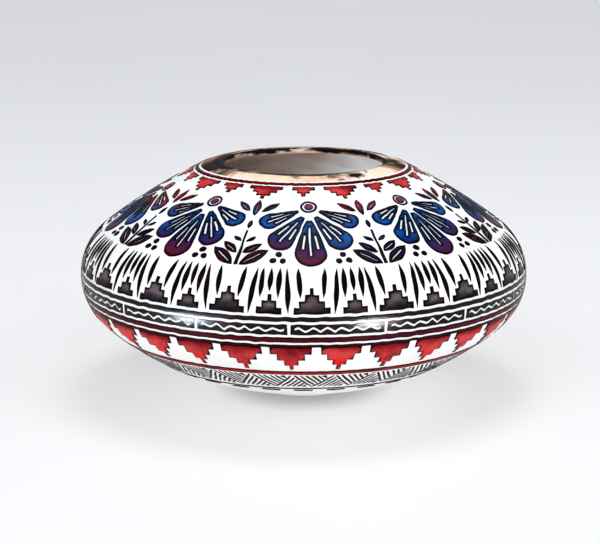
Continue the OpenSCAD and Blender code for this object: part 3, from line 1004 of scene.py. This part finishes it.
sheet = stepSheet(redSteps["wide"], redSteps["neck"], redSteps["tiers"], redTier, -1, atTip)
piece = ringOf("redSteps", sheet, redSteps["count"], redSteps["turn"], redTop, redSteps["lean"])
settle(piece, "red_steps", redStep, "red_slip")
tipLow, tipTop = rowOf("red_tips")
sheet = redTip(tipTop - tipLow)
piece = ringOf("redTips", sheet, redSteps["count"], redSteps["turn"], tipTop, redSteps["tipLean"])
settle(piece, "red_tips", redStep, "red_slip")
print("steps laid")

# Dark panels with a wavering line cut out of each
panels = {
    "count": 16,
    "turn": 8,
    "gap": 1.3,
    "waves": 6,
    "waveColumns": 8,
    "line": 0.95,
    "swing": 0.75,
    "uneven": (0.6, 1.25),
    "pointed": 0.96,
    "peak": 1.3,
    "end": 1.5,
    "smooth": 20,
}


def panelSheet(high, halfWide):
    waveHalf = halfWide - panels["end"]
    wave = 2 * waveHalf / panels["waves"]
    columns = panels["waveColumns"]
    middle = [-waveHalf + wave * i / columns for i in range(columns * panels["waves"] + 1)]
    ends = [halfWide, halfWide - panels["end"] / 2]
    xs = [-x for x in ends] + middle + ends[::-1]
    uneven = [luck.uniform(*panels["uneven"]) for i in range(panels["waves"] + 2)]

    def waveAt(x):
        beat = (x + waveHalf) / wave
        swing = panels["swing"] * uneven[max(0, min(panels["waves"], int(beat)))]
        return swing * math.asin(panels["pointed"] * math.sin(2 * math.pi * beat)) / panels["peak"]

    def place(x, row):
        line = waveAt(x) if abs(x) < waveHalf else 0
        low, top = line - panels["line"] / 2, line + panels["line"] / 2
        levels = [-high / 2, (low - high / 2) / 2, low, top, (top + high / 2) / 2, high / 2]
        return x, levels[round(row)], 0

    def keep(x, row):
        return abs(x) > waveHalf or not 2 < row < 3

    sheet = gridSheet("panel", xs, [0, 1, 2, 3, 4, 5], keep, place)
    markRim(sheet)
    raiseSheet(sheet)
    return sheet


panelLow, panelTop = rowOf("zigzag_panels")
panelMiddle = (panelLow + panelTop) / 2
panelHalf = (2 * math.pi * radiusAt(panelMiddle) / panels["count"] - panels["gap"]) / 2
copies = []
for i in range(panels["count"]):
    sheet = panelSheet(panelTop - panelLow, panelHalf)
    copies.append(layOn(sheet, panels["turn"] + 360 * i / panels["count"], panelMiddle, steady=True))
    putAway(sheet)
settle(joinUp("zigzagPanels", copies), "zigzag_panels", shinyBlack, "black_slip", panels["smooth"])
print("panels laid")


# What the strokes, blades and leaves share
strokes = {
    "rows": 12,
    "columns": (0, 0.5),
    "veinedColumns": (0, 0.2, 0.5, 0.8),
    "veinWide": 0.7,
    "veinShare": 0.1,
    "leastHalf": 0.05,
}


# Shape along a length, with its half width at each share of it and white veins cut out of it
def strokeSheet(name, long, halfAt, shares, veins=(), veinWide=strokes["veinWide"], thick=1):
    sides = [(-1, 0)] + [(vein["at"], side) for vein in veins for side in (-1, 1)] + [(1, 0)]
    inner = strokes["veinedColumns"] if veins else strokes["columns"]
    cuts = {2 * i + 1: vein for i, vein in enumerate(veins)}
    columns = [i + part for i in range(len(sides) - 1) for part in ((0,) if i in cuts else inner)]
    columns.append(len(sides) - 1)

    def across(number, half):
        spot, side = sides[number]
        return spot * half + side * min(veinWide / 2, strokes["veinShare"] * half)

    def place(column, share):
        number = min(int(column + 0.001), len(sides) - 2)
        part = column - number
        half = halfAt(share)
        x = across(number, half) * (1 - part) + across(number + 1, half) * part
        return x, (share - 0.5) * long, 0

    def keep(column, share):
        vein = cuts.get(int(column))
        return not (vein and vein["from"] < share < vein["to"])

    sheet = gridSheet(name, columns, shares, keep, place)
    markRim(sheet)
    raiseSheet(sheet, thick)
    return sheet


# Half width of a leaf, between two arcs
def leafHalf(long, wide):
    radius = (long ** 2 + wide ** 2) / (4 * wide)

    def half(share):
        arc = math.sqrt(radius ** 2 - ((share - 0.5) * long) ** 2) - radius + wide / 2
        return max(strokes["leastHalf"], arc)

    return half


def evenShares(count=strokes["rows"]):
    return [i / count for i in range(count + 1)]


# Fans of rounded blades below the mouth
fans = {
    "count": 9,
    "turn": 2,
    "sideBlades": 2,
    "spread": 60,
    "halfTurn": 0.46,
    "root": 0.25,
    "slim": 0.53,
    "foot": 0.575,
    "neck": 0.16,
    "taper": 0.85,
    "veinWide": 0.8,
    "sway": 1,
    "rows": [
        0, 0.006, 0.025, 0.055, 0.1, 0.16, 0.22, 0.29, 0.36,
        0.44, 0.52, 0.59, 0.66, 0.75, 0.84, 0.92, 1,
    ],
}
fanVeins = [
    {"at": -0.52, "from": 0.36, "to": 0.66},
    {"at": 0, "from": 0.22, "to": 0.84},
    {"at": 0.52, "from": 0.36, "to": 0.66},
]
bossLow, bossTop = rowOf("fan_bosses")
fanApex = (bossLow + bossTop) / 2
fanLong = fanApex - shoulderStart - fans["foot"]
fanPitch = 360 / fans["count"]
fanTurns = [fans["turn"] + fan * fanPitch for fan in range(fans["count"])]
betweenTurns = [turn + fanPitch / 2 for turn in fanTurns]


# Half width of a blade, round at its outer end and narrowing to its neck
def bladeHalf(long, wide):
    roundEnd = wide / 2 / long

    def half(share):
        if share < roundEnd:
            return wide / 2 * math.sqrt(max(0.01, 1 - (1 - share / roundEnd) ** 2))
        left = ((1 - share) / (1 - roundEnd)) ** fans["taper"]
        return wide / 2 * (fans["neck"] + (1 - fans["neck"]) * left)

    return half


def fanBlade(number):
    side = math.radians(number * fans["spread"] / fans["sideBlades"])
    across = math.radians(fans["halfTurn"] * fanPitch) * radiusAt(fanApex - fanLong / 6)  # widest there
    reach = 1 / math.hypot(math.sin(side) / across, math.cos(side) / fanLong)
    middle = reach * (1 + fans["root"]) / 2
    length = fanApex - middle * math.cos(side)
    return reach * (1 - fans["root"]), length, turnOf(middle * math.sin(side), length), -math.degrees(side)


def fanBlades():
    copies = []
    for number in range(fans["sideBlades"] + 1):
        long, length, turn, lean = fanBlade(number)
        half = bladeHalf(long, long * fans["slim"])
        sheet = strokeSheet("blade", long, half, fans["rows"], fanVeins, fans["veinWide"])
        for fanTurn in fanTurns:
            for side in (1, -1) if number else (1,):
                sway = luck.uniform(-fans["sway"], fans["sway"])
                copies.append(layOn(sheet, fanTurn + side * turn, length, side * lean + sway))
        putAway(sheet)
    return joinUp("fanBlades", copies)


# Round spot with a white ring etched into it where one is asked for
def spotSheet(across, sides, insets, ring=None):
    startFresh()
    bpy.ops.mesh.primitive_circle_add(vertices=sides, radius=across / 2, fill_type="NGON")
    sheet = bpy.context.object
    bpy.ops.object.mode_set(mode="EDIT")
    bpy.ops.mesh.select_all(action="SELECT")
    for inset in insets:
        bpy.ops.mesh.inset(thickness=inset)
    bpy.ops.object.mode_set(mode="OBJECT")
    if ring:
        pick(sheet, "FACE", lambda face: len(face.vertices) == 4 and ring[0] < face.center.length < ring[1])
        bpy.ops.mesh.delete(type="FACE")
        bpy.ops.object.mode_set(mode="OBJECT")
    markRim(sheet)
    raiseSheet(sheet)
    return sheet


# Boss of a fan, with its white ring between two depths from its edge
bosses = {
    "across": bossTop - bossLow,
    "sides": 32,
    "insets": (0.45, 0.45, 0.7, 0.5, 0.5),
    "ring": (1.6, 0.9),
}


def fanBosses():
    ring = [bosses["across"] / 2 - depth for depth in bosses["ring"]]
    sheet = spotSheet(bosses["across"], bosses["sides"], bosses["insets"], ring)
    return ringOf("fanBosses", sheet, fans["count"], fans["turn"], fanApex)


settle(fanBlades(), "fan_blades", sprayed, "blue_slip")
settle(fanBosses(), "fan_bosses", sprayedLeaf, "red_slip")

# Three berries to each side of a fan's middle blade
berries = {
    "across": 2.8,
    "sides": 16,
    "insets": (0.25, 0.35),
    "turn": 0.22,
    "rise": 1.4,
    "cluster": ((-0.72, -0.4), (0.72, -0.4), (0, 0.8)),
    "grow": (0.92, 1.06),
}


def berrySpots():
    across = berries["across"]
    sheet = spotSheet(across, berries["sides"], berries["insets"])
    copies = []
    for turn in fanTurns:
        for side in (-1, 1):
            for x, y in berries["cluster"]:
                length = shoulderStart + fans["foot"] + (berries["rise"] + y) * across
                off = side * berries["turn"] * fanPitch + turnOf(x * across, length)
                copies.append(layOn(sheet, turn + off, length, grow=luck.uniform(*berries["grow"])))
    putAway(sheet)
    return joinUp("berrySpots", copies)


settle(berrySpots(), "berries", sprayed, "plum_slip")

# Leaf sprigs between the fans, with a crown of three leaves above each
sprigs = {
    "pairs": 3,
    "stem": 1.2,
    "stemFoot": 0.62,
    "stemTaper": 0.3,
    "stemSway": 1,
    "lean": 52,
    "sway": 2,
    "slim": 0.4,
    "bud": 0.25,
    "budSway": 4,
    "lowest": 0.72,
    "shorter": 0.72,
}
crowns = {
    "lean": 48,
    "sway": 3,
    "slim": 0.34,
    "side": 0.9,
}
leafVeins = [{"at": 0, "from": 0.16, "to": 0.76}]
stemLow, stemTop = rowOf("sprig_stems")
sprigLong = stemTop - stemLow


def leafSheet(long, slim):
    return strokeSheet("leaf", long, leafHalf(long, long * slim), evenShares(), leafVeins)


def stemHalf(share):
    return sprigs["stem"] * (sprigs["stemFoot"] - sprigs["stemTaper"] * share)


def sprigStems():
    sheet = strokeSheet("stem", sprigLong, stemHalf, evenShares())
    middle = (stemLow + stemTop) / 2
    return joinUp("sprigStems", layAround(sheet, betweenTurns, middle, 0, sprigs["stemSway"]))


def sprigLeaves():
    budLong = sprigs["bud"] * sprigLong
    budLength = stemTop + budLong / 2 + sprigs["stem"]
    bud = leafSheet(budLong, sprigs["slim"])
    copies = layAround(bud, betweenTurns, budLength, 0, sprigs["budSway"])
    lean = math.radians(sprigs["lean"])
    for pair in range(sprigs["pairs"]):
        share = pair / sprigs["pairs"]
        long = sprigLong * (sprigs["lowest"] - sprigs["shorter"] * share)
        length = stemLow + share * sprigLong + long / 2 * math.cos(lean)
        off = turnOf(long / 2 * math.sin(lean) + sprigs["stem"], length)
        leaf = leafSheet(long, sprigs["slim"])
        copies += layPairs(leaf, betweenTurns, off, length, sprigs["lean"], sprigs["sway"])
    return joinUp("sprigLeaves", copies)


def crownLeaves():
    low, top = rowOf("crown_leaves")
    middleLeaf = leafSheet(top - low, crowns["slim"])
    copies = layAround(middleLeaf, betweenTurns, (low + top) / 2, 0, crowns["sway"])
    long = crowns["side"] * (top - low)
    length = top - long / 2
    off = turnOf(long / 2 * math.sin(math.radians(crowns["lean"])) + 2 * sprigs["stem"], length)
    sideLeaf = leafSheet(long, crowns["slim"])
    copies += layPairs(sideLeaf, betweenTurns, off, length, crowns["lean"], crowns["sway"])
    return joinUp("crownLeaves", copies)


settle(sprigStems(), "sprig_stems", sprayed, "plum_slip")
settle(sprigLeaves(), "sprig_leaves", sprayed, "plum_slip")
settle(crownLeaves(), "crown_leaves", sprayedLeaf, "red_slip")
print("shoulder pattern laid")

# Reed strokes beside and above the standing steps
reeds = {
    "wide": 2.1,
    "lean": 5,
    "sway": 1.5,
    "gap": 1.15,
    "besideLarge": 0.29,
    "largeTip": 0.15,
    "smallTip": 0.105,
}


def reedStrokes():
    top = rowOf("reed_strokes")[1]
    pitch = 360 / bellySteps["count"]
    aboveSmall = bellyFoot + bellySteps["small"]["tiers"] * bellySteps["tier"] + reeds["gap"]
    besideTips = aboveSmall - bellySteps["tier"]
    places = [(aboveSmall, pitch / 2, 0)]
    for side in (-1, 1):
        places.append((bellyFoot, side * reeds["besideLarge"] * pitch, side * reeds["lean"]))
        places.append((besideTips, side * reeds["largeTip"] * pitch, side * reeds["lean"]))
        places.append((besideTips, pitch / 2 + side * reeds["smallTip"] * pitch, 0))
    copies = []
    for low, off, lean in places:
        long = top - low
        sheet = strokeSheet("reed", long, leafHalf(long, reeds["wide"]), evenShares())
        turns = [bellySteps["large"]["turn"] + i * pitch + off for i in range(bellySteps["count"])]
        copies += layAround(sheet, turns, low + long / 2, lean, reeds["sway"])
    return joinUp("reedStrokes", copies)


settle(reedStrokes(), "reed_strokes", black, "black_slip")

# Band of slanting strokes in triangles that point down and up by turns
hatch = {
    "periods": 30,
    "turn": -3,
    "strokes": 7,
    "lines": 5,
    "rows": 5,
    "wide": 1.02,
    "thinner": 0.3,
    "wedge": 2,
    "wedgePoint": 0.12,
    "thick": 0.35,
    "trim": 0.75,
    "shortest": 1.2,
    "sway": 1.5,
}


# Half width of a stroke, thinner at both ends
def lineHalf(share):
    return hatch["wide"] / 2 * (1 - hatch["thinner"] * abs(2 * share - 1) ** 5)


# Half width of the short stroke that fills a triangle's corner
def wedgeHalf(away):
    point = hatch["wedgePoint"]

    def half(share):
        return hatch["wedge"] / 2 * (point + (1 - point) * (share if away < 0 else 1 - share))

    return half


def hatchStrokes():
    low, top = rowOf("hatch_band")
    pitch = 360 / hatch["periods"]
    copies = []
    for stroke in range(hatch["lines"] + 1):
        share = 1 - stroke / hatch["strokes"]
        side = share * pitch / 2
        drop = share * (top - low)
        for start, away in ((top, -1), (low, 1)):
            middle = start + away * drop / 2
            across = math.radians(side) * radiusAt(middle)
            long = max(hatch["shortest"], math.hypot(across, drop) - 2 * hatch["trim"])
            half = lineHalf if stroke < hatch["lines"] else wedgeHalf(away)
            sheet = strokeSheet("stroke", long, half, evenShares(hatch["rows"]), thick=hatch["thick"])
            lean = away * math.degrees(math.atan2(across, drop))
            first = hatch["turn"] + pitch * (stroke / hatch["strokes"] + (0.5 if away > 0 else 0)) + side / 2
            turns = [first + period * pitch for period in range(hatch["periods"])]
            copies += layAround(sheet, turns, middle, lean, hatch["sway"])
    return joinUp("hatchStrokes", copies)


settle(hatchStrokes(), "hatch_band", black, "black_slip")

# Short dashes in a row above the foot
dashes = {
    "count": 30,
    "long": 8,
    "thinner": 0.5,
    "lean": 90,
    "sway": 2,
}


def baseDashes():
    low, top = rowOf("base_dashes")

    def half(share):
        return (top - low) / 2 * (1 - dashes["thinner"] * abs(2 * share - 1) ** 3)

    sheet = strokeSheet("dash", dashes["long"], half, evenShares())
    turns = [360 * i / dashes["count"] for i in range(dashes["count"])]
    return joinUp("baseDashes", layAround(sheet, turns, (low + top) / 2, dashes["lean"], dashes["sway"]))


settle(baseDashes(), "base_dashes", black, "black_slip")
print("lower pattern laid")

# Floor, light and camera, in metres, watts and degrees
stageSet = {
    "floorWide": 14,
    "floorTone": (0.53, 0.535, 0.54),
    "floorCloud": (3, 3),
    "floorDim": 0.96,
    "floorRough": 0.6,
    # the floor glows as painted light that lifts the shadows, and the glow fades out near the foot as a
    # painted contact shadow
    "floorPaintedGlow": 0.34,
    "paintedShadowSpan": (0.01, 0.042),
    "horizon": (1.2, 1.23, 1.28),
    "zenith": (0.4, 0.42, 0.45),
    "skySpan": (0.05, 0.6),
    "behind": 0.5,
}
lamps = {
    "keyLight": {"place": (-0.5, -0.75, 0.9), "aim": (0, 0, 0.05), "size": (0.7, 0.7), "watts": 2.6},
    "fillLight": {"place": (0.7, -0.6, 0.7), "aim": (0, 0, 0.05), "size": (0.7, 0.7), "watts": 2.2},
    "topLight": {"place": (0.05, 0.05, 1.1), "aim": (0, 0, 0.05), "size": (0.5, 0.5), "watts": 3.2},
    "lowLeft": {
        "place": (-0.166, -0.164, 0.013), "aim": (-0.0454, -0.0891, 0.052), "size": (0.055, 0.022),
        "watts": 0.0066, "colour": (0.76, 0.88, 1), "matt": False, "beam": 20,
    },
    "lowRight": {
        "place": (0.108, -0.213, 0.0135), "aim": (0.0276, -0.0961, 0.052), "size": (0.055, 0.028),
        "watts": 0.0066, "colour": (0.95, 0.97, 1), "matt": False, "beam": 20,
    },
    "lowFront": {
        "place": (0, -0.4, 0.03), "aim": (0, -0.07, 0.03), "size": (0.4, 0.04), "watts": 0.12, "sheen": False,
    },
    "insideFill": {
        "place": (0.03, -0.005, 0.036), "aim": (0.02, 0.03, 0.1), "size": (0.05, 0.05), "watts": 0.03,
    },
}
photoView = {
    "lens": 99.12,
    "sensor": 36,
    "shift": -0.0058,
    "place": (0, -0.7316, 0.224),
    "down": 13.14,
}


def paleFloor():
    startFresh()
    bpy.ops.mesh.primitive_plane_add(size=stageSet["floorWide"])
    floor = bpy.context.object
    floor.name = "floor"
    finish, tree, shader = newFinish("paleFloor")
    tone = stageSet["floorTone"]
    dim = tuple(stageSet["floorDim"] * part for part in tone)
    low, high = cloudSpan
    shade = ramp(tree, noise(tree, *stageSet["floorCloud"]), [(low, dim), (high, tone)])
    tree.links.new(shade, shader.inputs["Base Color"])
    shader.inputs["Roughness"].default_value = stageSet["floorRough"]
    shader.inputs["Emission Color"].default_value = (1, 1, 1, 1)
    # Painted light: the floor glows, and the glow fades to nothing close to the foot as a painted contact
    # shadow
    toPot = awayFrom(tree, (0, 0, 0))
    paintedGlowAndShadow = spread(tree, toPot, *stageSet["paintedShadowSpan"], 0, stageSet["floorPaintedGlow"])  # keeps the wide shadow light
    tree.links.new(paintedGlowAndShadow, shader.inputs["Emission Strength"])
    floor.data.materials.append(finish)


def softLight(name, place, aim, size, watts, colour=(1, 1, 1), matt=True, sheen=True, beam=180):
    lamp = bpy.data.lights.new(name, "AREA")
    lamp.shape = "RECTANGLE"
    lamp.size, lamp.size_y = size
    lamp.energy = watts
    lamp.color = colour
    lamp.spread = math.radians(beam)
    holder = bpy.data.objects.new(name, lamp)
    bpy.context.scene.collection.objects.link(holder)
    holder.location = place
    holder.rotation_euler = (Vector(place) - Vector(aim)).to_track_quat("Z", "Y").to_euler()
    holder.visible_camera = False
    holder.visible_diffuse = matt
    holder.visible_glossy = sheen


def studio():
    world = bpy.data.worlds.new("studio")
    world.use_nodes = True
    tree = world.node_tree
    parts = put(tree, "SeparateXYZ", {"Vector": put(tree, "TexCoord", {}).outputs["Generated"]})
    low, high = stageSet["skySpan"]
    skyTones = [(low, stageSet["horizon"]), (high, stageSet["zenith"])]
    behindTones = [(0.0, (1, 1, 1)), (0.5, (stageSet["behind"],) * 3)]
    sky = ramp(tree, parts.outputs["Z"], skyTones, True)
    behind = ramp(tree, parts.outputs["Y"], behindTones, True)
    tree.links.new(blend(tree, 1, sky, behind, "MULTIPLY"), tree.nodes["Background"].inputs["Color"])
    bpy.context.scene.world = world
    for name, lamp in lamps.items():
        softLight(name, **lamp)


def photoCamera():
    lens = bpy.data.cameras.new("camera")
    lens.lens = photoView["lens"]
    lens.sensor_width = photoView["sensor"]
    lens.shift_x = photoView["shift"]
    holder = bpy.data.objects.new("camera", lens)
    bpy.context.scene.collection.objects.link(holder)
    holder.location = photoView["place"]
    holder.rotation_euler = (math.radians(90 - photoView["down"]), 0, 0)
    bpy.context.scene.camera = holder


paleFloor()
studio()
photoCamera()
print("stage set")
